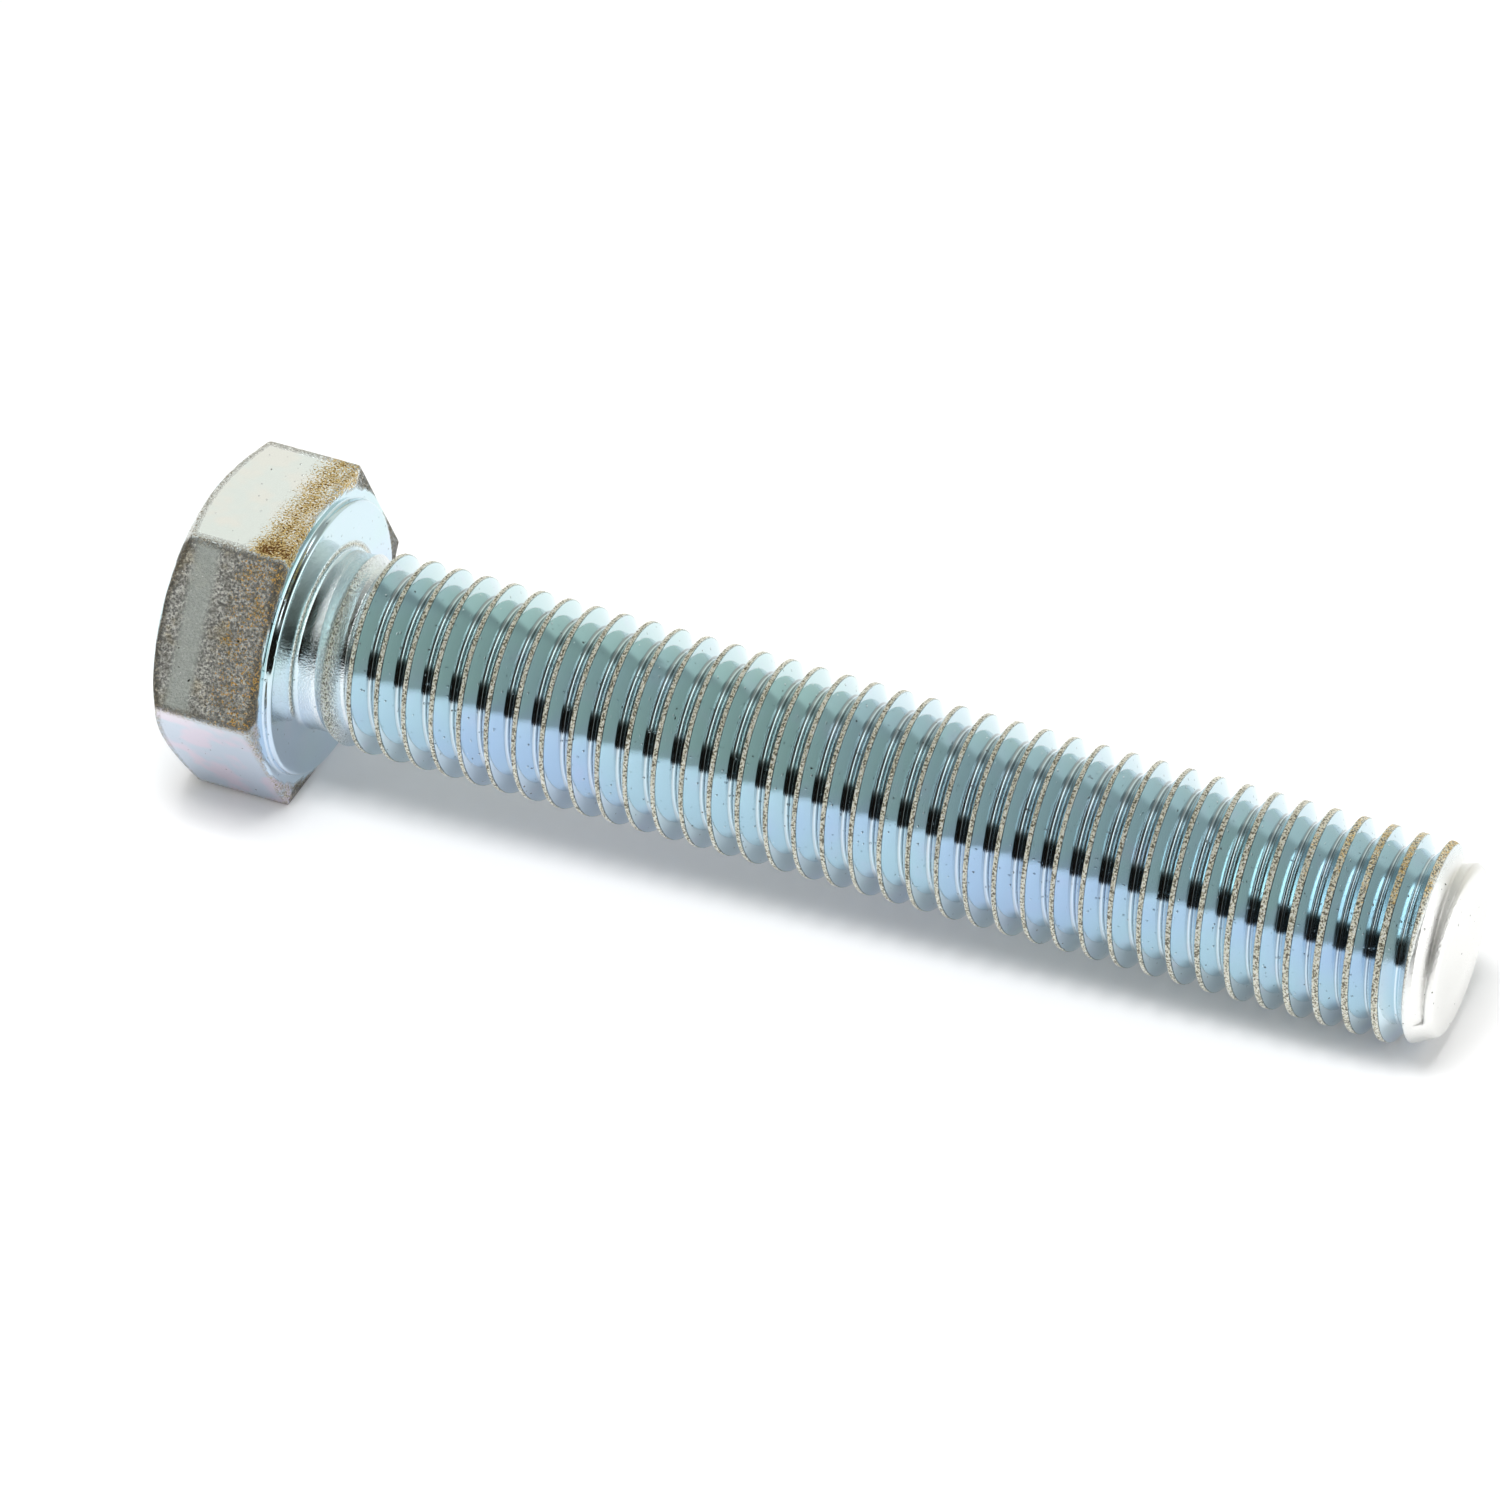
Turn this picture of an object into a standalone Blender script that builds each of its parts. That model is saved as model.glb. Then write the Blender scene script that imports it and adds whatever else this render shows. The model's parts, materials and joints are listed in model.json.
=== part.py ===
"""Hexagon head screw, M12 x 1.75 x 70, fully threaded, zinc plated steel.

The real screw is one piece: its head is forged from the same wire as its shank, and the thread is
rolled into that shank. So it is one object here, hex_bolt, joined from a few turned and swept shapes.

The shapes are modelled upright, with the screw's axis on Z, the bearing face under the head at z = 0
and the shank going up. Each one is then laid down: the axis lies along +X, one flat of the head faces
the ground, and the origin is the centre of the head's top face.
"""

import math

import bmesh
import bpy
from mathutils import Matrix

MM = 0.001

# Driving dimensions
MAJOR_DIAMETER = 11.95 * MM
PITCH = 1.75 * MM
SHANK_LENGTH = 70 * MM
ACROSS_FLATS = 18 * MM
HEAD_HEIGHT = 7.5 * MM

# Head
HEX_SIDES = 6
CORNER_RADIUS = ACROSS_FLATS / math.sqrt(3)
CROWN_RADIUS = 0.475 * ACROSS_FLATS
CROWN_ANGLE = math.radians(30)
WASHER_FACE_RADIUS = 8.4 * MM
WASHER_FACE_HEIGHT = 0.5 * MM
FILLET_RADIUS = 0.6 * MM

# Thread: flanks at 60 degrees to each other, with flat crests and roots
HALF_FLANK_ANGLE = math.radians(30)
THREAD_DEPTH = 0.6134 * PITCH
FLANK_LENGTH = THREAD_DEPTH * math.tan(HALF_FLANK_ANGLE)
CREST_LENGTH = PITCH / 8
ROOT_LENGTH = PITCH - CREST_LENGTH - 2 * FLANK_LENGTH
MAJOR_RADIUS = MAJOR_DIAMETER / 2
ROOT_RADIUS = MAJOR_RADIUS - THREAD_DEPTH
# Height of a crest over the bearing face, on the side that the ground-facing flat is on
CREST_START = 0.83 * MM

# Neck under the head, which the thread runs out into
NECK_RADIUS = 5.4 * MM
NECK_LENGTH = 1.2 * MM
ROOTS_FADE_LENGTH = 1.6 * PITCH
CRESTS_FADE_LENGTH = 1.2 * PITCH

# Chamfered point, where the thread ends
POINT_RADIUS = 4.9 * MM
POINT_LENGTH = 2 * MM

# Facets
STEPS_PER_TURN = 24
ROUND_STEPS = 48
FILLET_STEPS = 4
SHARP_ANGLE = math.radians(30)
WELD_DISTANCE = 0.001 * MM

# How far helper shapes reach into or past each other, so that no two surfaces coincide
HIDDEN = 0.1 * MM
OVERLAP = 1 * MM

PLATING_COLOUR = (0.66, 0.70, 0.72, 1)
PLATING_ROUGHNESS = 0.3

LAID_DOWN = Matrix.Translation((HEAD_HEIGHT, 0, 0)) @ Matrix.Rotation(math.radians(90), 4, "Y")


def clear_scene():
    for old in list(bpy.data.objects):
        bpy.data.objects.remove(old)


def new_collection(name):
    made = bpy.data.collections.new(name)
    bpy.context.scene.collection.children.link(made)
    return made


def new_object(name, mesh, home):
    made = bpy.data.objects.new(name, mesh)
    made.matrix_world = LAID_DOWN
    home.objects.link(made)
    return made


def new_helper(name, mesh, home):
    made = new_object(name, mesh, home)
    made.hide_render = True
    made.display_type = "WIRE"
    return made


def profile_mesh(name, points, turned_by=0.0):
    """A chain of edges through (radius, height) points, in the plane at turned_by from XZ."""
    mesh = bpy.data.meshes.new(name)
    cos, sin = math.cos(turned_by), math.sin(turned_by)
    verts = [(radius * cos, radius * sin, height) for radius, height in points]
    edges = [(i, i + 1) for i in range(len(points) - 1)]
    mesh.from_pydata(verts, edges, [])
    return mesh


def add_screw(obj, steps, turns=1, rise=0.0):
    """Sweeps a profile round Z, going up by rise in each turn."""
    screw = obj.modifiers.new("Screw", "SCREW")
    screw.axis = "Z"
    screw.angle = math.radians(360)
    screw.screw_offset = rise
    screw.iterations = turns
    screw.steps = steps
    screw.render_steps = steps
    screw.use_merge_vertices = rise == 0
    screw.merge_threshold = WELD_DISTANCE


def turned_shape(name, points, home):
    """A closed turned shape. Its points run down the outer side, from the axis back to the axis."""
    half_step = math.radians(180) / ROUND_STEPS
    made = new_helper(name, profile_mesh(name, points, half_step), home)
    add_screw(made, ROUND_STEPS)
    return made


def add_boolean(obj, operation, other):
    boolean = obj.modifiers.new(f"{operation} {other.name}", "BOOLEAN")
    boolean.operation = operation
    boolean.object = other


def evaluated_mesh(obj):
    graph = bpy.context.evaluated_depsgraph_get()
    return bpy.data.meshes.new_from_object(obj.evaluated_get(graph))


def weld(mesh):
    """Merges the near-coincident points that a Boolean can leave."""
    bm = bmesh.new()
    bm.from_mesh(mesh)
    bmesh.ops.remove_doubles(bm, verts=bm.verts, dist=WELD_DISTANCE)
    bm.to_mesh(mesh)
    bm.free()


def crown_cone(home):
    """The cone that the top corners of the head are turned to."""
    outer_radius = CORNER_RADIUS + OVERLAP
    drop = (outer_radius - CROWN_RADIUS) * math.tan(CROWN_ANGLE)
    points = [
        (0, 0),
        (outer_radius, 0),
        (outer_radius, drop - HEAD_HEIGHT),
        (CROWN_RADIUS, -HEAD_HEIGHT),
        (0, -HEAD_HEIGHT),
    ]
    return turned_shape("crown_cone", points, home)


def hexagon(home):
    """The six-sided part of the head, under the washer face."""
    height = HEAD_HEIGHT - WASHER_FACE_HEIGHT
    bm = bmesh.new()
    bmesh.ops.create_cone(
        bm,
        cap_ends=True,
        segments=HEX_SIDES,
        radius1=CORNER_RADIUS,
        radius2=CORNER_RADIUS,
        depth=height,
    )
    bmesh.ops.translate(bm, verts=bm.verts, vec=(0, 0, -WASHER_FACE_HEIGHT - height / 2))
    mesh = bpy.data.meshes.new("hexagon")
    bm.to_mesh(mesh)
    bm.free()
    made = new_helper("hexagon", mesh, home)
    add_boolean(made, "INTERSECT", crown_cone(home))
    return made


def neck(home):
    """The washer face, the fillet under the head, and the neck, which narrows inside the thread."""
    fillet = []
    for step in range(FILLET_STEPS + 1):
        angle = math.radians(90) * step / FILLET_STEPS
        radius = NECK_RADIUS + FILLET_RADIUS * (1 - math.cos(angle))
        fillet.append((radius, FILLET_RADIUS * (1 - math.sin(angle))))
    top = NECK_LENGTH + ROOTS_FADE_LENGTH
    points = [
        (0, top),
        (ROOT_RADIUS - HIDDEN, top),
        (NECK_RADIUS, NECK_LENGTH),
        *fillet,
        (WASHER_FACE_RADIUS, 0),
        (WASHER_FACE_RADIUS, -WASHER_FACE_HEIGHT - OVERLAP),
        (0, -WASHER_FACE_HEIGHT - OVERLAP),
    ]
    return turned_shape("neck", points, home)


def thread_envelope(home):
    """The limit of the thread's crests, which fade into the neck and end at the point."""
    outer_radius = MAJOR_RADIUS + HIDDEN
    points = [
        (0, SHANK_LENGTH),
        (POINT_RADIUS, SHANK_LENGTH),
        (outer_radius, SHANK_LENGTH - POINT_LENGTH),
        (outer_radius, NECK_LENGTH + CRESTS_FADE_LENGTH),
        (NECK_RADIUS - HIDDEN, NECK_LENGTH - HIDDEN),
        (NECK_RADIUS - HIDDEN, -WASHER_FACE_HEIGHT),
        (0, -WASHER_FACE_HEIGHT),
    ]
    return turned_shape("thread_envelope", points, home)


def close_end(bm, rim):
    """Joins one open end of the swept thread to a point on the axis."""
    height = sum(vert.co.z for edge in rim for vert in edge.verts) / (2 * len(rim))
    grown = bmesh.ops.extrude_edge_only(bm, edges=rim)["geom"]
    verts = [item for item in grown if isinstance(item, bmesh.types.BMVert)]
    bmesh.ops.pointmerge(bm, verts=verts, merge_co=(0, 0, height))


def threaded_rod(home):
    """A right-hand thread swept from the profile of one pitch, two turns too long at both ends."""
    turns = math.ceil(SHANK_LENGTH / PITCH) + 4
    crest_middle = CREST_START - 2 * PITCH
    crest_top = crest_middle + CREST_LENGTH / 2
    crest_bottom = crest_middle - CREST_LENGTH / 2
    root_top = crest_bottom - FLANK_LENGTH
    points = [
        (ROOT_RADIUS, crest_top + FLANK_LENGTH),
        (MAJOR_RADIUS, crest_top),
        (MAJOR_RADIUS, crest_bottom),
        (ROOT_RADIUS, root_top),
        (ROOT_RADIUS, root_top - ROOT_LENGTH),
    ]
    sweep = new_object("thread_sweep", profile_mesh("thread_sweep", points), home)
    add_screw(sweep, STEPS_PER_TURN, turns, PITCH)
    mesh = evaluated_mesh(sweep)
    bpy.data.objects.remove(sweep)

    bm = bmesh.new()
    bm.from_mesh(mesh)
    bmesh.ops.remove_doubles(bm, verts=bm.verts, dist=WELD_DISTANCE)
    open_edges = [edge for edge in bm.edges if edge.is_boundary]
    middle = SHANK_LENGTH / 2
    close_end(bm, [edge for edge in open_edges if edge.verts[0].co.z < middle])
    close_end(bm, [edge for edge in open_edges if edge.verts[0].co.z > middle])
    bmesh.ops.recalc_face_normals(bm, faces=bm.faces)
    bm.to_mesh(mesh)
    bm.free()
    return mesh


def plating():
    material = bpy.data.materials.new("zinc_plated_steel")
    material.use_nodes = True
    shader = material.node_tree.nodes["Principled BSDF"]
    shader.inputs["Base Color"].default_value = PLATING_COLOUR
    shader.inputs["Roughness"].default_value = PLATING_ROUGHNESS
    shader.inputs["Metallic"].default_value = 1
    return material


def hex_bolt(home, cutters):
    bolt = new_object("hex_bolt", threaded_rod(cutters), home)
    add_boolean(bolt, "INTERSECT", thread_envelope(cutters))
    add_boolean(bolt, "UNION", neck(cutters))
    add_boolean(bolt, "UNION", hexagon(cutters))
    mesh = evaluated_mesh(bolt)
    weld(mesh)
    bolt.modifiers.clear()
    bolt.data = mesh
    mesh.shade_smooth()
    mesh.set_sharp_from_angle(angle=SHARP_ANGLE)
    mesh.materials.clear()
    mesh.materials.append(plating())


clear_scene()
hex_bolt(new_collection("hex_bolt"), new_collection("cutters"))
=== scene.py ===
"""Looks of a zinc plated hexagon head screw, lying on a pale floor.

Lengths are in millimetres until objects are made. The screw's axis is X, and an angle round it is
measured from +Y towards +Z. The surface is one closed grid of columns, one for each angle, and of
rows from the middle of the head's top face to the middle of the point. The rows of the shank follow
the helix of the thread, so that its crests and roots lie along edges of the mesh.
"""

import functools
import json
import math
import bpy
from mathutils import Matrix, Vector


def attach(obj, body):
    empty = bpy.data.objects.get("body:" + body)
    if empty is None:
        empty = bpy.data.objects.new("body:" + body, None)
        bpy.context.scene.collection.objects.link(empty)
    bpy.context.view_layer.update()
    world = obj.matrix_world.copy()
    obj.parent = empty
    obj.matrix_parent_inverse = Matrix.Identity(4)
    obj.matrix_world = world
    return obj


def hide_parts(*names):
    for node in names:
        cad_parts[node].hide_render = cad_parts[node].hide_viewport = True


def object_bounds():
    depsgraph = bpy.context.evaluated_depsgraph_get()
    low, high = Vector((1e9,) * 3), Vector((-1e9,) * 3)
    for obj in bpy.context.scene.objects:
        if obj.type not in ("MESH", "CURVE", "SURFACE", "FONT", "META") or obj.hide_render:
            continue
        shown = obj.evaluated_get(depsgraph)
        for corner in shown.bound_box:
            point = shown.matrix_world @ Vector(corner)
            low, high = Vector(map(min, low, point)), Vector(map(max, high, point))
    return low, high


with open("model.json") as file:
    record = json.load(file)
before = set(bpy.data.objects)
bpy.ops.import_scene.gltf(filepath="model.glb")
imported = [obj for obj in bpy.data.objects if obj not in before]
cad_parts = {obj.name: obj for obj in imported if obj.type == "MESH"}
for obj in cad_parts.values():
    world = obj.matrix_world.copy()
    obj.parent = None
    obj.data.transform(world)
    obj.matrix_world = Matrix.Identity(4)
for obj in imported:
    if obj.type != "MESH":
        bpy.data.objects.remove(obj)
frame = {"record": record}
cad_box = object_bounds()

import types

import bpy
import numpy as np
from mathutils import Matrix, Vector

MM = 0.001
RANDOM = np.random.default_rng(12)

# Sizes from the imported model
BOX_LOW, BOX_HIGH = (corner / MM for corner in cad_box)
MOUNTS = {mount["name"]: mount["pos_m"] for mount in frame["record"]["mounts"]}
HEAD_TOP = BOX_LOW.x
BEARING = MOUNTS["bearing_face"][0] / MM
END = BOX_HIGH.x
FLAT_RADIUS = BOX_HIGH.z

# Head
CROWN_RADIUS = 0.95 * FLAT_RADIUS
CROWN_SLOPE = math.tan(math.radians(30))
DISH_DEPTH = 0.12
DISH_FLOOR_RADIUS = 5.6
DISH_RIM_RADIUS = 7.2
WASHER_FACE_RADIUS = 8.4
WASHER_FACE_HEIGHT = 0.5
WASHER_FACE_DRAFT = 0.03
UNDERSIDE = BEARING - WASHER_FACE_HEIGHT
HEX_CORNER_ROUNDING = 0.14

# Thread
PITCH = 1.75
MAJOR_RADIUS = 5.975
MINOR_RADIUS = 4.9
FLANK_SLOPE = 1 / math.tan(math.radians(30))
FIRST_CREST = BEARING + 1.27
CREST_HALF = 0.128
WORN_CREST_HALF = 0.185
CREST_ROUNDING = 0.05
CREST_HOLLOW_DEPTH = 0.025
CREST_HOLLOW_HALF = 0.04
CREST_WEAR = (END - 20, END - 5)
RUN_OUT_ROUNDING = 0.06

# Nicks in the crests. Each has a place along the shank, an angle round it, and a depth.
NICKS = 60
NICK_LENGTH = 0.3
NICK_WIDTH = 0.28
NICK_LEAST = (BEARING + 4, 0, 0.02)
NICK_MOST = (END - 2, 2 * math.pi, 0.09)
NICK_PLACES = RANDOM.uniform(NICK_LEAST, NICK_MOST, (NICKS, 3))

# Neck and point. The neck narrows over one stretch, while the crests rise out of it over another.
NECK_RADIUS = 5.4
NECK_FILLET = 0.6
NECK_LENGTH = 0.9
NECK_ROUNDING = 0.08
NECK_NARROWS = (BEARING + 1.1, BEARING + 4.2)
CRESTS_RISE = (BEARING + 0.8, BEARING + 3.6)
POINT_RADIUS = 4.9
POINT_LENGTH = 2.0
LAST_ROW = END - 0.45
END_HOLLOW_DEPTH = 0.25
END_HOLLOW_RADIUS = 3.6

# Mesh. A rounding takes up at most a share of the stretch on each side of its corner, and a gap keeps
# the helical rows clear of the rings at both ends.
COLUMNS = 132
HALF_SEXTANT = COLUMNS // 12
HEAD_CROWDING = 1.9
CORNER_STEPS = 4
MOST_ROUNDING = 0.45
ROW_GAP = 0.04
LARGE_FACE = 0.35

# Rows of a crest and of a root, from its middle. A crest's outer rows move further out with its wear.
CREST_ROWS = (-0.165, -0.12, -0.07, 0, 0.07, 0.12, 0.165)
CREST_OUTER_ROWS = 0.1
ROOT_ROWS = (-0.19, -0.141, -0.075, 0, 0.075, 0.141, 0.19)

# Middles of the head's flats, in degrees round the axis
TOP_FLAT = 90
PICKLED_FLAT = 150
HIDDEN_FLATS = 330

# Camera, lamp and floor
CAMERA_AZIMUTH = 22.0
CAMERA_ELEVATION = 37.96
CAMERA_ROLL = 1.61
CAMERA_DISTANCE = 425.1
CAMERA_LENS = 177.2
CAMERA_SENSOR = 36
CAMERA_NEAR = 10
CAMERA_AIM = Vector((34.52, -0.83, 1.04))
LAMP_PLACE = Vector((35, -170, 580))
LAMP_TILT = -16
LAMP_SIZE = 250
LAMP_WATTS = 2.9
FLOOR_SIZE = 6000

# Colours of the plating, and of the highlights, glints and dark reflections painted on it. A pair holds
# the two ends of a blend.
LOW_FILM = (0.60, 0.72, 0.85), (0.62, 0.76, 0.83)
HIGH_FILM = (0.60, 0.75, 0.81), (0.60, 0.765, 0.785)
LAVENDER = (0.72, 0.72, 0.87)
HEAD_PINK = (0.59, 0.66, 0.75), (0.70, 0.65, 0.74)
HEAD_MINT = (0.93, 1.0, 1.0), (0.98, 1.0, 0.98)
# Painted highlight: the point is made near white where its reflection should be bright
POINT_PAINTED_HIGHLIGHT = (0.88, 0.88, 0.86)
# Painted highlight: the neck is made paler in place of bright reflections
NECK_PAINTED_HIGHLIGHT = (0.95, 0.96, 0.97)
CREST_CREAM = (0.17, 0.14, 0.08), (1.0, 0.96, 0.78)
# Painted glints: white specks on the crests
CREST_PAINTED_GLINT = (1.0, 1.0, 0.95)
# Black of the pits, and of the painted dark reflection lines along the roots
BLACK_DIRT_AND_DARK_REFLECTION = (0.05, 0.045, 0.04)
PICKLED_GREY = (0.20, 0.20, 0.19), (0.82, 0.82, 0.77)
PICKLED_TAN = (0.24, 0.20, 0.13), (0.82, 0.76, 0.58)
PICKLED_DARK = (0.20, 0.19, 0.16)
RUBBED_GREY = (0.56, 0.60, 0.57)
# Painted glints: white specks on the pickled flat
PICKLED_PAINTED_GLINT = (0.95, 0.95, 0.92)
WORN_EDGE = (0.34, 0.28, 0.18), (0.85, 0.82, 0.74)
RUST = (1.0, 0.78, 0.34), (0.18, 0.07, 0.015)

# Colours of the floor and of the studio's light. The ceiling's two run from its front to its back.
FLOOR = (0.88, 0.88, 0.89)
FLOOR_GLOW = (0.97, 0.98, 1.0)
GREY_SIDE = (0.54, 0.55, 0.51)
WHITE_BACK = (0.88, 0.87, 0.80)
CEILING = (0.04, 0.035, 0.03), (0.42, 0.42, 0.40)

# Panels of the studio, each over those before it: the colour, and the steps that bound the panel
# along the axes of a direction. A step goes from nothing at its first value to all at its second.
STUDIO_PANELS = {
    "white to the right": ((1.8, 1.8, 1.8), (("x", 0.70, 0.84),)),
    "dark in front": (
        (0.012, 0.009, 0.007),
        (("y", -0.20, -0.35), ("x", -0.52, -0.44), ("x", 0.84, 0.70), ("z", 0.80, 0.48)),
    ),
    "softbox overhead": (
        (3.6, 3.6, 3.6),
        (("z", 0.55, 0.68), ("x", -0.345, -0.325), ("x", -0.19, -0.23), ("y", 0.55, 0.30)),
    ),
    "white below the horizon": ((1.2, 1.2, 1.2), (("z", 0.02, -0.02),)),
}


def smoothstep(low, high, value):
    t = np.clip((value - low) / (high - low), 0, 1)
    return t * t * (3 - 2 * t)


def smooth_min(a, b, width):
    """The smaller of a and b, blended over a width."""
    h = np.clip(0.5 + (b - a) / (2 * width), 0, 1)
    return b + (a - b) * h - width * h * (1 - h)


def smooth_max(a, b, width):
    return -smooth_min(-a, -b, width)


# Surface of the head, end and shank


def head_angles():
    """The angles of the head's columns, crowded towards the corners of the hexagon."""
    step = np.arange(COLUMNS)
    corner = np.round(step / (2 * HALF_SEXTANT))
    offset = step / HALF_SEXTANT - 2 * corner
    return np.radians(60 * corner + 30 * np.sign(offset) * np.abs(offset) ** HEAD_CROWDING)


def shank_angles():
    return np.arange(COLUMNS) * 2 * math.pi / COLUMNS


def hexagon_radius(angles):
    """Distance from the axis to the hexagon's side, with its corners rounded."""
    beta = (angles + math.radians(30)) % math.radians(60) - math.radians(30)
    from_flat = math.radians(30) - np.abs(beta)
    flat = FLAT_RADIUS / np.cos(from_flat)
    centre = (FLAT_RADIUS - HEX_CORNER_ROUNDING) / math.cos(math.radians(30))
    inside = np.maximum(HEX_CORNER_ROUNDING**2 - (centre * np.sin(beta)) ** 2, 0)
    arc = centre * np.cos(beta) + np.sqrt(inside)
    along = HEX_CORNER_ROUNDING * math.cos(math.radians(30))
    across = HEX_CORNER_ROUNDING * math.sin(math.radians(30))
    tangent = math.atan(across / (centre + along))
    return np.where(np.abs(beta) < tangent, arc, flat)


def rounded_profile(corners):
    """Rows of (x, radius), for every column, along a chain of corners.

    A corner is (x, radius, rounding, rows). A curve that starts and ends its rounding away from the
    corner takes its place, and its rows are those of the straight stretch after it.
    """
    points = np.array([[np.broadcast_to(value, COLUMNS) for value in c[:2]] for c in corners])
    rows = []
    start = points[0]
    for k, (_, _, _, count) in enumerate(corners[:-1]):
        target = points[k + 1]
        rounding = corners[k + 1][2]
        way = target - points[k]
        length = np.hypot(*way)
        stop = target - way / length * np.minimum(rounding, MOST_ROUNDING * length)
        rows += [start + (stop - start) * step / count for step in range(count)]
        start = stop
        if rounding:
            onward = points[k + 2] - target
            length = np.hypot(*onward)
            start = target + onward / length * np.minimum(rounding, MOST_ROUNDING * length)
            for t in np.arange(CORNER_STEPS) / CORNER_STEPS:
                rows.append((1 - t) ** 2 * stop + 2 * t * (1 - t) * target + t * t * start)
    rows.append(points[-1])
    return np.array(rows)


def head_rows():
    """(x, radius, angle) of the head's rows, from near the middle of its top to the neck."""
    side = hexagon_radius(head_angles())
    crown_end = HEAD_TOP + (side - CROWN_RADIUS) * CROWN_SLOPE
    corners = [
        (HEAD_TOP + DISH_DEPTH, 0.4, 0, 8),
        (HEAD_TOP + DISH_DEPTH, DISH_FLOOR_RADIUS, 0.8, 3),
        (HEAD_TOP, DISH_RIM_RADIUS, 0.5, 3),
        (HEAD_TOP, CROWN_RADIUS, 0.18, 3),
        (crown_end, side, 0.15, 24),
        (UNDERSIDE, side, 0.2, 4),
        (UNDERSIDE, WASHER_FACE_RADIUS, 0.14, 2),
        (BEARING, WASHER_FACE_RADIUS - WASHER_FACE_DRAFT, 0.2, 8),
        (BEARING, NECK_RADIUS, NECK_FILLET, 2),
        (BEARING + NECK_LENGTH, NECK_RADIUS, 0, 0),
    ]
    rows = rounded_profile(corners)
    to_round = smoothstep(WASHER_FACE_RADIUS - 0.3, NECK_RADIUS + 0.8, rows[:, 1])
    to_round[rows[:, 0] < UNDERSIDE + 0.05] = 0
    turn = (1 - to_round) * head_angles() + to_round * shank_angles()
    return np.stack([rows[:, 0], rows[:, 1], turn], axis=1)


def end_rows():
    """(x, radius, angle) of the rows from the last of the thread to near the middle of the end."""
    corners = [
        (LAST_ROW, point_radius(LAST_ROW), 0, 2),
        (END, POINT_RADIUS, 0.3, 4),
        (END, END_HOLLOW_RADIUS, 0.5, 3),
        (END - 0.8 * END_HOLLOW_DEPTH, END_HOLLOW_RADIUS - 1.0, 0.5, 5),
        (END - END_HOLLOW_DEPTH, 0.3, 0, 0),
    ]
    rows = rounded_profile(corners)
    turn = np.broadcast_to(shank_angles(), rows[:, 0].shape)
    return np.stack([rows[:, 0], rows[:, 1], turn], axis=1)


def crest_half(x):
    """Half the width of a crest: wider by the point, where they are worn."""
    return CREST_HALF + (WORN_CREST_HALF - CREST_HALF) * smoothstep(*CREST_WEAR, x)


def from_crest(x, turn):
    """Distance along the axis from the nearest crest of the endless thread."""
    return (x - FIRST_CREST - PITCH * turn / (2 * math.pi) + PITCH / 2) % PITCH - PITCH / 2


def root_rounding(x):
    """Radius of the arc that joins the two flanks at the root."""
    flat_root = PITCH / 2 - (MAJOR_RADIUS - MINOR_RADIUS) / FLANK_SLOPE
    return (flat_root - crest_half(x)) * FLANK_SLOPE


def thread_radius(x, turn):
    """The thread, as if it had no ends."""
    along = from_crest(x, turn)
    rounding = root_rounding(x)
    from_root = np.abs(PITCH / 2 - np.abs(along))
    arc = MINOR_RADIUS + rounding - np.sqrt(np.maximum(rounding**2 - from_root**2, rounding**2 / 4))
    flank = MAJOR_RADIUS - (np.abs(along) - crest_half(x)) * FLANK_SLOPE
    crest = MAJOR_RADIUS - CREST_HOLLOW_DEPTH * np.exp(-((along / CREST_HOLLOW_HALF) ** 2))
    return np.maximum(arc, smooth_min(flank, crest, CREST_ROUNDING))


def neck_radius(x):
    """The neck, which narrows inside the thread until only the roots show."""
    narrowed = smoothstep(*NECK_NARROWS, x)
    return NECK_RADIUS - (NECK_RADIUS - MINOR_RADIUS + 0.3) * narrowed


def crest_limit(x):
    """How high the crests can stand as they fade into the neck."""
    risen = smoothstep(*CRESTS_RISE, x)
    return NECK_RADIUS - 0.05 + (MAJOR_RADIUS - NECK_RADIUS + 0.2) * risen


def point_radius(x):
    """The chamfer of the point."""
    return POINT_RADIUS + (END - x) * (MAJOR_RADIUS - POINT_RADIUS) / POINT_LENGTH


def dents(x, turn):
    """Depth of small nicks that handling left in the crests."""
    depth = np.zeros_like(x)
    for nick_x, nick_turn, deep in NICK_PLACES:
        across = MAJOR_RADIUS * ((turn - nick_turn + math.pi) % (2 * math.pi) - math.pi)
        near = ((x - nick_x) / NICK_LENGTH) ** 2 + (across / NICK_WIDTH) ** 2
        depth = depth + deep * np.exp(-near)
    return depth


def shank_radius(x, turn):
    """The thread, with its run-out into the neck, the chamfer of the point and its nicks."""
    radius = smooth_min(thread_radius(x, turn), crest_limit(x), RUN_OUT_ROUNDING)
    radius = smooth_max(radius, neck_radius(x), NECK_ROUNDING)
    radius = smooth_min(radius, point_radius(x), RUN_OUT_ROUNDING)
    on_crest = smoothstep(MAJOR_RADIUS - 0.5, MAJOR_RADIUS - 0.1, radius)
    return radius - on_crest * dents(x, turn)


def shank_columns():
    """For each column, the number of its first helical row and the x of all its rows."""
    low = BEARING + NECK_LENGTH + ROW_GAP
    high = LAST_ROW - ROW_GAP
    crests = FIRST_CREST + PITCH * np.arange(-3, math.ceil((END - BEARING) / PITCH) + 3)
    side = np.sign(CREST_ROWS) * (np.abs(CREST_ROWS) > CREST_OUTER_ROWS)
    columns = []
    for i in range(COLUMNS):
        crest = (crests + PITCH * i / COLUMNS)[:, None]
        wear = crest_half(crest) - CREST_HALF
        on_crest = crest + np.array(CREST_ROWS) + side * wear
        in_root = crest + PITCH / 2 + np.array(ROOT_ROWS) * root_rounding(crest) / root_rounding(BEARING)
        x = np.concatenate([on_crest, in_root], axis=1).ravel()
        inside = np.flatnonzero((x > low) & (x < high))
        columns.append((inside[0], x[inside]))
    return columns


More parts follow.
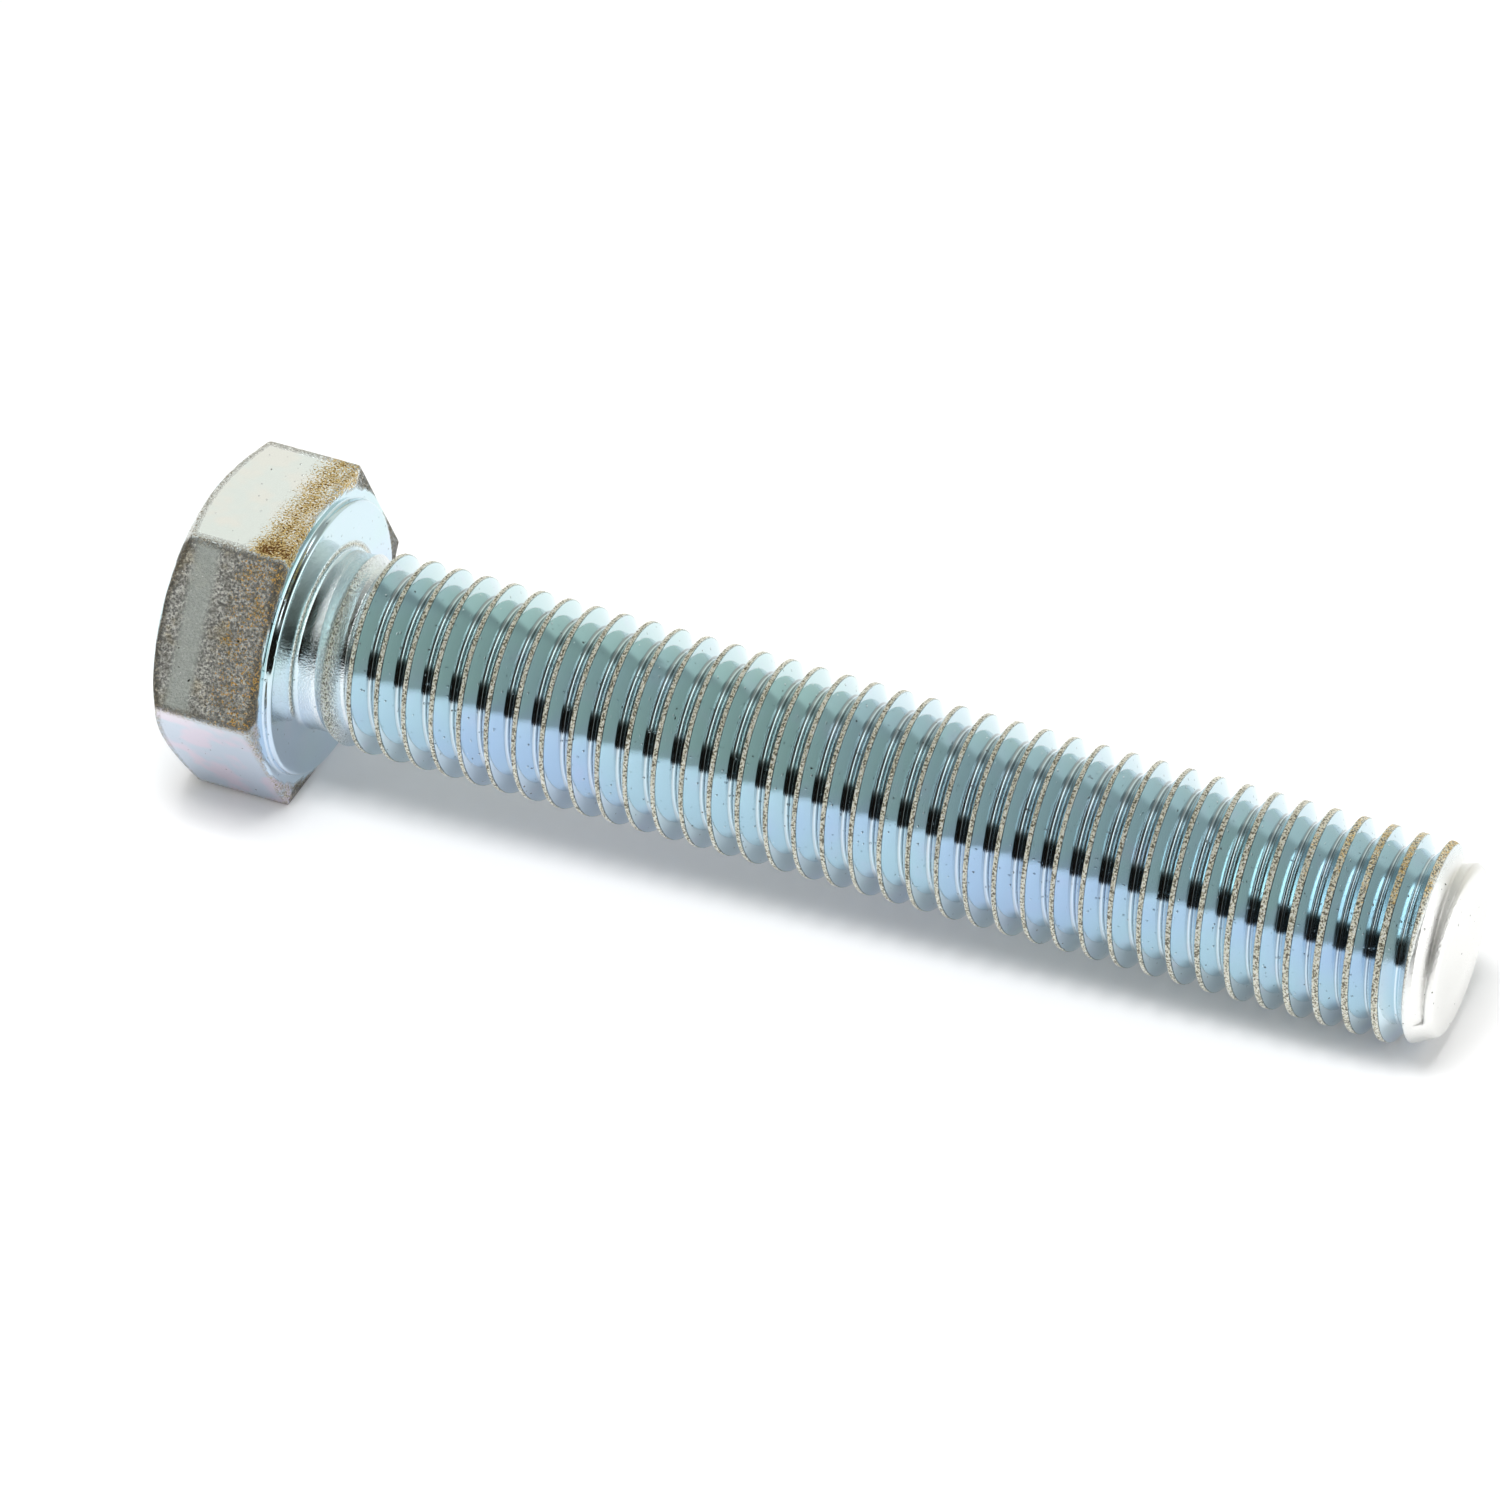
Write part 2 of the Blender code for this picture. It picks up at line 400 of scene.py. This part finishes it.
def bolt_surface():
    """Points as (x, radius, angle), and faces, of the closed surface."""
    head = head_rows()
    end = end_rows()
    columns = shank_columns()
    points = []
    faces = []

    def add(x, radius, turn):
        start = sum(len(block) for block in points)
        points.append(np.stack(np.broadcast_arrays(x, radius, turn), axis=-1).reshape(-1, 3))
        return start

    def ring(row):
        return add(*row) + np.arange(COLUMNS)

    def join(a, b):
        after = np.roll(np.arange(COLUMNS), -1)
        faces.extend(np.stack([a, a[after], b[after], b], axis=1).tolist())

    rings = [ring(row) for row in head]
    for a, b in zip(rings, rings[1:]):
        join(a, b)
    end_rings = [ring(row) for row in end]
    for a, b in zip(end_rings, end_rings[1:]):
        join(a, b)
    for pole_x, rim, flip in (
        (head[0][0].mean(), rings[0], 1),
        (end[-1][0].mean(), end_rings[-1], -1),
    ):
        pole = add(pole_x, 0.0, 0.0)
        around = np.append(rim, rim[0])
        faces.extend([pole, int(b), int(a)][::flip] for a, b in zip(around, around[1:]))

    turns = shank_angles()
    starts = [add(x, shank_radius(x, turns[i]), turns[i]) for i, (_, x) in enumerate(columns)]
    first = [int(column[0]) for column in columns]
    count = [len(column[1]) for column in columns]
    for i in range(COLUMNS):
        j = (i + 1) % COLUMNS
        # Once round, the helix is one crest and one root further on
        shift = len(CREST_ROWS + ROOT_ROWS) if j == 0 else 0
        first_j = first[j] - shift
        low = max(first[i], first_j)
        high = min(first[i] + count[i], first_j + count[j])
        a = starts[i] + np.arange(low, high) - first[i]
        b = starts[j] + np.arange(low, high) - first_j
        faces.extend(np.stack([a[:-1], b[:-1], b[1:], a[1:]], axis=1).tolist())
        # One face with many corners joins the uneven ends of two columns to the rings beside them
        lead_a = list(range(starts[i], a[0] + 1))
        lead_b = list(range(starts[j], b[0] + 1))
        faces.append([int(rings[-1][i]), int(rings[-1][j]), *lead_b, *lead_a[::-1]])
        tail_a = list(range(a[-1], starts[i] + count[i]))
        tail_b = list(range(b[-1], starts[j] + count[j]))
        faces.append([*tail_a[::-1], *tail_b, int(end_rings[0][j]), int(end_rings[0][i])])
    return np.concatenate(points), faces


# Vertex masks for the materials, from 0 to 1


def degrees_from(turn, centre):
    """Degrees between an angle round the axis and a given one."""
    return np.abs((np.degrees(turn) - centre + 180) % 360 - 180)


def near_angle(turn, centre, inner, outer):
    """1 within inner degrees of an angle round the axis, and 0 past outer degrees from it."""
    return 1 - smoothstep(inner, outer, degrees_from(turn, centre))


def crest_mask(x, radius, turn):
    """The rolled crests, and what the point's chamfer and the neck cut from them."""
    cut = thread_radius(x, turn) - np.minimum(point_radius(x), crest_limit(x))
    high = 1 - smoothstep(crest_half(x) - 0.005, crest_half(x) + 0.02, np.abs(from_crest(x, turn)))
    high = high * smoothstep(MAJOR_RADIUS - 0.3, MAJOR_RADIUS - 0.15, radius)
    chamfer = smoothstep(0, 0.1, cut) * smoothstep(NECK_RADIUS + 0.1, NECK_RADIUS + 0.3, radius)
    chamfer = chamfer * (1 - smoothstep(END - 2.2, END - 1.6, x))
    return np.where(x > BEARING, np.maximum(high, chamfer), 0)


def painted_root_reflection_mask(x, radius, turn):
    """Two fine dark lines along each root, one at the foot of each flank, painted as dark reflection."""
    from_root = PITCH / 2 - np.abs(from_crest(x, turn))
    lines = np.exp(-(((from_root * root_rounding(BEARING) / root_rounding(x) - 0.11) / 0.05) ** 2))
    threaded = smoothstep(BEARING + 2, BEARING + 4.5, x) * (1 - smoothstep(END - 3, END - 2.4, x))
    return lines * threaded * (radius < MINOR_RADIUS + 0.3)


def side_mask(x, radius):
    """The six flats of the head."""
    return np.where((x < UNDERSIDE + 0.1) & (radius > 0.999 * FLAT_RADIUS), 1.0, 0.0)


def mottle_mask(x, radius, turn):
    """Coarse pickled steel under the plating, on one flat and more faintly on the three hidden ones."""
    facing = near_angle(turn, PICKLED_FLAT, 28.5, 30.5)
    hidden = 0.6 * near_angle(turn, HIDDEN_FLATS, 88.5, 90.5)
    return side_mask(x, radius) * np.maximum(facing, hidden)


def rub_mask(x, radius, turn):
    """A smoother band that something rubbed across the pickled flat."""
    band = np.exp(-(((x - HEAD_TOP - 2.3) / 0.8) ** 6))
    return side_mask(x, radius) * near_angle(turn, PICKLED_FLAT, 28.5, 30.5) * band


def stain_mask(x, radius, turn):
    """Yellow-brown stain along the lower edge of the top flat, on a flat beside it and by the point."""
    corner = np.exp(-((degrees_from(turn, TOP_FLAT + 29) / 12) ** 2))
    core = np.exp(-(((UNDERSIDE - x - 1.2) / 0.5) ** 2))
    edge = smoothstep(UNDERSIDE - 2.9, UNDERSIDE - 1.5, x)
    on_top = near_angle(turn, TOP_FLAT, 29, 30.5) * edge * (0.5 + 0.3 * corner + 0.2 * core)
    beside = 0.25 * near_angle(turn, PICKLED_FLAT, 28, 31) * smoothstep(3.4, 5.2, x - HEAD_TOP)
    near_end = smoothstep(END - 13, END - 4, x) * near_angle(turn, TOP_FLAT - 15, 35, 70)
    near_end = 0.36 * near_end * crest_mask(x, radius, turn)
    return np.where(x > BEARING, near_end, side_mask(x, radius) * np.maximum(on_top, beside))


def neck_mask(x, radius):
    """The plain neck under the head, which the dies left a little rough, and whose colour is painted
    paler as highlight.
    """
    inside = 1 - smoothstep(NECK_RADIUS + 0.15, NECK_RADIUS + 0.4, radius)
    starts = smoothstep(BEARING + 0.2, BEARING + 0.5, x)
    return inside * starts * (1 - smoothstep(BEARING + 2, BEARING + 5, x))


def edge_mask(x, radius, turn):
    """The edges of the flats, where the plating is worn and speckled."""
    corner = 1 - smoothstep(0.3, 2.2, np.abs((np.degrees(turn) + 30) % 60 - 30))
    lower = smoothstep(UNDERSIDE - 0.55, UNDERSIDE - 0.1, x)
    crown_end = HEAD_TOP + (radius - CROWN_RADIUS) * CROWN_SLOPE
    upper = 1 - smoothstep(0.05, 0.4, x - crown_end)
    return side_mask(x, radius) * np.maximum(np.maximum(corner, lower), upper)


def point_mask(x):
    """The chamfer and the end face, painted whiter as highlight, where the plating is not as smooth."""
    return smoothstep(END - 2.2, END - 1.2, x)


def shade_by_largest_faces(mesh):
    """Shading normals that follow the largest faces, so that flats and flanks look flat.

    A face pulls by the square of its area, which counts up to LARGE_FACE square millimetres.
    """
    normals = np.empty(3 * len(mesh.polygons))
    mesh.polygons.foreach_get("normal", normals)
    areas = np.empty(len(mesh.polygons))
    mesh.polygons.foreach_get("area", areas)
    sides = np.empty(len(mesh.polygons), int)
    mesh.polygons.foreach_get("loop_total", sides)
    corners = np.empty(len(mesh.loops), int)
    mesh.loops.foreach_get("vertex_index", corners)
    weights = np.minimum(areas / MM**2, LARGE_FACE) ** 2
    pulls = np.repeat(normals.reshape(-1, 3) * weights[:, None], sides, axis=0)
    sums = np.zeros((len(mesh.vertices), 3))
    np.add.at(sums, corners, pulls)
    mesh.normals_split_custom_set_from_vertices(sums / np.linalg.norm(sums, axis=1)[:, None])


def bolt_mesh():
    points, faces = bolt_surface()
    x, radius, turn = points.T
    places = np.stack([x, radius * np.cos(turn), radius * np.sin(turn)], axis=1)
    mesh = bpy.data.meshes.new("bolt_surface")
    mesh.from_pydata((places * MM).tolist(), [], faces)
    mesh.shade_smooth()
    shade_by_largest_faces(mesh)
    masks = {
        "crest": crest_mask(x, radius, turn),
        # Where the painted dark reflection lines run along the roots
        "root": painted_root_reflection_mask(x, radius, turn),
        "mottle": mottle_mask(x, radius, turn),
        "rub": rub_mask(x, radius, turn),
        "stain": stain_mask(x, radius, turn),
        "edge": edge_mask(x, radius, turn),
        "neck": neck_mask(x, radius),
        "head": side_mask(x, radius),
        "point": point_mask(x),
    }
    for name, values in masks.items():
        layer = mesh.attributes.new(name, "FLOAT", "POINT")
        layer.data.foreach_set("value", values)
    return mesh


# Materials


class Nodes:
    """Adds nodes to a shader tree. Its methods give back an output, and add gives back the node."""

    def __init__(self, tree):
        self.tree = tree

    def put(self, socket, value):
        """Links an output to a socket, or sets the socket to a number or a colour."""
        if isinstance(value, bpy.types.NodeSocket):
            self.tree.links.new(value, socket)
        elif isinstance(value, tuple):
            socket.default_value = (*value, 1)
        else:
            socket.default_value = value

    def add(self, kind, inputs, **settings):
        node = self.tree.nodes.new(kind)
        for name, value in settings.items():
            setattr(node, name, value)
        for name, value in inputs.items():
            self.put(node.inputs[name], value)
        return node

    def math(self, operation, values):
        """The values put together two by two, from the first to the last."""

        def pair(a, b):
            return self.add("ShaderNodeMath", {0: a, 1: b}, operation=operation).outputs[0]

        return functools.reduce(pair, values)

    def times(self, *values):
        return self.math("MULTIPLY", values)

    def plus(self, *values):
        return self.math("ADD", values)

    def most(self, *values):
        return self.math("MAXIMUM", values)

    def swing(self, noise, size):
        """A noise moved to swing about 0, and scaled."""
        return self.times(self.plus(noise, -0.5), size)

    def mask(self, name):
        return self.add("ShaderNodeAttribute", {}, attribute_name=name).outputs["Fac"]

    def millimetres(self):
        place = self.add("ShaderNodeTexCoord", {}).outputs["Object"]
        scaled = {0: place, "Scale": 1 / MM}
        return self.add("ShaderNodeVectorMath", scaled, operation="SCALE").outputs[0]

    def noise(self, place, size, detail=2.0, roughness=0.5):
        """Noise whose features are about size across."""
        inputs = {"Vector": place, "Scale": 1 / size, "Detail": detail, "Roughness": roughness}
        return self.add("ShaderNodeTexNoise", inputs).outputs["Fac"]

    def specks(self, place, spacing):
        """Distance from the nearest of scattered spots, as a share of their spacing."""
        inputs = {"Vector": place, "Scale": 1 / spacing}
        return self.add("ShaderNodeTexVoronoi", inputs).outputs["Distance"]

    def step(self, value, low, high, to_low=0.0, to_high=1.0):
        """A smooth step of value, from to_low at low to to_high at high."""
        inputs = {"Value": value, "From Min": low, "From Max": high}
        inputs.update({"To Min": to_low, "To Max": to_high})
        node = self.add("ShaderNodeMapRange", inputs, interpolation_type="SMOOTHSTEP")
        return node.outputs["Result"]

    def blend(self, factor, a, b):
        """Colour a where the factor is 0, and b where it is 1."""
        node = self.tree.nodes.new("ShaderNodeMix")
        node.data_type = "RGBA"
        for socket, value in zip((node.inputs[0], node.inputs[6], node.inputs[7]), (factor, a, b)):
            self.put(socket, value)
        return node.outputs[2]

    def bump(self, height, distance, normal=None):
        inputs = {"Height": height, "Strength": 1.0, "Distance": distance * MM}
        if normal is not None:
            inputs["Normal"] = normal
        return self.add("ShaderNodeBump", inputs).outputs["Normal"]


def surface_inputs(nodes):
    """The masks of the mesh, and the noises that the looks of the plating come from."""
    place = nodes.millimetres()
    names = ("crest", "root", "mottle", "rub", "edge", "stain", "neck", "head", "point")
    mask = types.SimpleNamespace(**{name: nodes.mask(name) for name in names})
    texture = types.SimpleNamespace(
        cloud=nodes.noise(place, 11.0),
        film=nodes.noise(place, 2.4),
        patches=nodes.noise(place, 1.3, 3.0),
        blotch=nodes.noise(place, 0.45, 5.0, 0.65),
        pits=nodes.noise(place, 0.33, 1.0),
        grain=nodes.noise(place, 0.17, 4.0, 0.7),
        fine=nodes.noise(place, 0.12, 2.0, 0.6),
        specks=nodes.specks(place, 0.7),
        height=nodes.add("ShaderNodeSeparateXYZ", {"Vector": place}).outputs["Z"],
    )
    return mask, texture


def film_colour(nodes, mask, texture):
    """A pale blue film that drifts to mint and lavender. On the head's flats it goes from pink and
    darker at the bottom to near-white mint at the top, and on the point it is painted near white as a
    painted highlight.
    """
    drift = nodes.step(texture.cloud, 0.42, 0.62)
    low = nodes.blend(drift, *LOW_FILM)
    high = nodes.blend(drift, *HIGH_FILM)
    colour = nodes.blend(nodes.step(texture.height, 1.6, 3.4), low, high)
    colour = nodes.blend(nodes.step(texture.film, 0.55, 0.75, 0, 0.25), colour, LAVENDER)
    pink = nodes.blend(nodes.step(texture.film, 0.45, 0.60), *HEAD_PINK)
    mint = nodes.blend(nodes.step(texture.film, 0.40, 0.60), *HEAD_MINT)
    # The flats are pink and darker towards the bottom of the head, and near-white mint towards its top
    flats = nodes.blend(nodes.step(texture.height, -2.0, 4.0), pink, mint)
    colour = nodes.blend(mask.head, colour, flats)
    # Painted highlight: the point is made near white
    return nodes.blend(mask.point, colour, POINT_PAINTED_HIGHLIGHT)


def thread_colour(nodes, mask, texture, colour):
    """Adds painted dark reflection lines along the roots, the neck's paler colour painted as highlight,
    and the cream of the crests with its dark specks and painted white glints.
    """
    # Painted dark reflection: black lines along the roots, stronger towards the top of the shank
    root_reflection = nodes.times(mask.root, nodes.step(texture.height, 0.0, 3.0, 0.35, 0.85))
    colour = nodes.blend(root_reflection, colour, BLACK_DIRT_AND_DARK_REFLECTION)
    cream_and_glints = nodes.blend(nodes.step(texture.fine, 0.41, 0.52), *CREST_CREAM)
    # Painted glints: white specks on the crests
    cream_and_glints = nodes.blend(nodes.step(texture.fine, 0.53, 0.60), cream_and_glints, CREST_PAINTED_GLINT)
    # Painted highlight: the neck is made paler
    colour = nodes.blend(nodes.times(mask.neck, 0.5), colour, NECK_PAINTED_HIGHLIGHT)
    creamy = nodes.most(nodes.times(mask.crest, 0.92), nodes.times(mask.neck, 0.10))
    return nodes.blend(creamy, colour, cream_and_glints)


def pickled_colour(nodes, mask, texture):
    """Coarse grey and tan grain with dark blotches, a smoother rubbed band and white specks painted as
    glints.
    """
    grain = nodes.step(texture.grain, 0.38, 0.64)
    grey = nodes.blend(grain, *PICKLED_GREY)
    tan = nodes.blend(grain, *PICKLED_TAN)
    colour = nodes.blend(nodes.step(texture.patches, 0.50, 0.66, 0, 0.6), grey, tan)
    colour = nodes.blend(nodes.step(texture.blotch, 0.46, 0.60, 0, 0.45), colour, PICKLED_DARK)
    colour = nodes.blend(nodes.times(mask.rub, 0.85), colour, RUBBED_GREY)
    # Painted glints: white specks on the pickled flat
    return nodes.blend(nodes.step(texture.fine, 0.66, 0.74), colour, PICKLED_PAINTED_GLINT)


def ragged_stain(nodes, mask, texture):
    """How strong the stain is: its mask, broken up by noises of three sizes."""
    return nodes.plus(
        mask.stain,
        nodes.swing(texture.fine, 2.6),
        nodes.swing(texture.grain, 1.8),
        nodes.swing(texture.patches, 0.8),
    )


def plating():
    """Bright zinc plating: smooth flanks and roots, grainy crests, and a pickled, stained head."""
    material = bpy.data.materials.new("zinc_plating")
    material.use_nodes = True
    nodes = Nodes(material.node_tree)
    shader = material.node_tree.nodes["Principled BSDF"]
    mask, texture = surface_inputs(nodes)
    worn = nodes.times(mask.edge, nodes.step(texture.grain, 0.44, 0.56))
    strength = ragged_stain(nodes, mask, texture)
    stain = nodes.times(nodes.step(strength, 0.44, 0.58), nodes.step(mask.stain, 0.02, 0.15))
    pit = nodes.step(texture.pits, 0.76, 0.80)

    colour = film_colour(nodes, mask, texture)
    colour = thread_colour(nodes, mask, texture, colour)
    colour = nodes.blend(mask.mottle, colour, pickled_colour(nodes, mask, texture))
    dirt = nodes.blend(nodes.step(texture.fine, 0.4, 0.6), *WORN_EDGE)
    colour = nodes.blend(nodes.times(worn, 0.85), colour, dirt)
    colour = nodes.blend(stain, colour, nodes.blend(nodes.step(strength, 0.60, 1.10), *RUST))
    colour = nodes.blend(pit, colour, BLACK_DIRT_AND_DARK_REFLECTION)
    nodes.put(shader.inputs["Base Color"], colour)

    rough = nodes.plus(
        0.06,
        nodes.times(nodes.most(mask.crest, nodes.times(mask.neck, 0.15)), 0.24),
        nodes.times(mask.head, nodes.step(texture.height, -4.0, 2.0, 0.40, 0.10)),
        nodes.times(mask.mottle, 0.42),
        nodes.times(nodes.most(stain, worn), 0.35),
        nodes.times(mask.point, 0.22),
        nodes.times(texture.blotch, 0.08),
    )
    nodes.put(shader.inputs["Roughness"], rough)

    # Relief: sparse bright specks on the flanks, and grain where the plating is coarse
    coarse = nodes.most(mask.crest, stain, worn, nodes.times(nodes.most(mask.neck, mask.point), 0.14))
    normal = nodes.bump(nodes.step(texture.specks, 0.04, 0.12, 1, 0), 0.06)
    normal = nodes.bump(nodes.times(texture.fine, coarse), 0.26, normal)
    normal = nodes.bump(nodes.times(texture.grain, mask.mottle), 0.22, normal)
    nodes.put(shader.inputs["Normal"], normal)
    shader.inputs["Metallic"].default_value = 1
    return material


def floor_material():
    """A matt pale floor, with a faint glow of its own that lifts its shadows."""
    material = bpy.data.materials.new("pale_floor")
    material.use_nodes = True
    shader = material.node_tree.nodes["Principled BSDF"]
    shader.inputs["Base Color"].default_value = (*FLOOR, 1)
    shader.inputs["Roughness"].default_value = 0.8
    shader.inputs["Specular IOR Level"].default_value = 0.2
    shader.inputs["Emission Color"].default_value = (*FLOOR_GLOW, 1)
    shader.inputs["Emission Strength"].default_value = 0.12
    return material


# Pieces, camera and light


def make_bolt():
    bolt = bpy.data.objects.new("bolt_surface", bolt_mesh())
    bpy.context.scene.collection.objects.link(bolt)
    bolt.data.materials.append(plating())
    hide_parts("hex_bolt")
    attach(bolt, "root")


def resting_floor():
    """A floor that the head's lower edge and the last full crest rest on."""
    heel = Vector((UNDERSIDE, 0, -FLAT_RADIUS))
    toe = Vector((END - POINT_LENGTH, 0, -MAJOR_RADIUS))
    slope = math.atan2(toe.z - heel.z, toe.x - heel.x)
    bpy.ops.mesh.primitive_plane_add(size=FLOOR_SIZE * MM)
    floor = bpy.context.object
    floor.name = "floor"
    floor.matrix_world = Matrix.Translation(heel * MM) @ Matrix.Rotation(-slope, 4, "Y")
    floor.data.materials.append(floor_material())


def add_camera():
    azimuth = math.radians(CAMERA_AZIMUTH)
    elevation = math.radians(CAMERA_ELEVATION)
    level = math.cos(elevation)
    back = Vector((math.sin(azimuth) * level, -math.cos(azimuth) * level, math.sin(elevation)))
    data = bpy.data.cameras.new("camera")
    data.lens = CAMERA_LENS
    data.sensor_width = CAMERA_SENSOR
    data.clip_start = CAMERA_NEAR * MM
    camera = bpy.data.objects.new("camera", data)
    bpy.context.scene.collection.objects.link(camera)
    turn = back.to_track_quat("Z", "Y").to_matrix().to_4x4()
    place = Matrix.Translation((CAMERA_AIM + back * CAMERA_DISTANCE) * MM)
    camera.matrix_world = place @ turn @ Matrix.Rotation(math.radians(CAMERA_ROLL), 4, "Z")
    bpy.context.scene.camera = camera


def add_overhead_lamp():
    """A wide lamp above, for short and soft shadows. It has no reflection of its own."""
    data = bpy.data.lights.new("overhead_lamp", "AREA")
    data.size = LAMP_SIZE * MM
    data.energy = LAMP_WATTS
    lamp = bpy.data.objects.new("overhead_lamp", data)
    bpy.context.scene.collection.objects.link(lamp)
    lamp.location = LAMP_PLACE * MM
    lamp.rotation_euler = (math.radians(LAMP_TILT), 0, 0)
    lamp.visible_glossy = False
    lamp.visible_camera = False


def add_world():
    """A studio: grey at the sides, white behind, a dim ceiling, and then its panels."""
    world = bpy.data.worlds.new("studio")
    bpy.context.scene.world = world
    world.use_nodes = True
    nodes = Nodes(world.node_tree)
    direction = nodes.add("ShaderNodeTexCoord", {}).outputs["Generated"]
    split = nodes.add("ShaderNodeSeparateXYZ", {"Vector": direction})
    along = dict(zip("xyz", split.outputs))

    def within(*bounds):
        return nodes.times(*(nodes.step(along[axis], low, high) for axis, low, high in bounds))

    light = nodes.blend(within(("y", 0.52, 0.68)), GREY_SIDE, WHITE_BACK)
    overhead = within(("z", 0.60, 0.70), ("x", -0.50, -0.42), ("x", 0.50, 0.42))
    light = nodes.blend(overhead, light, nodes.blend(within(("y", -0.20, 0.35)), *CEILING))
    for colour, bounds in STUDIO_PANELS.values():
        light = nodes.blend(within(*bounds), light, colour)
    background = world.node_tree.nodes["Background"]
    nodes.put(background.inputs["Color"], light)


bpy.context.scene.view_settings.view_transform = "Standard"
make_bolt()
resting_floor()
add_camera()
add_overhead_lamp()
add_world()
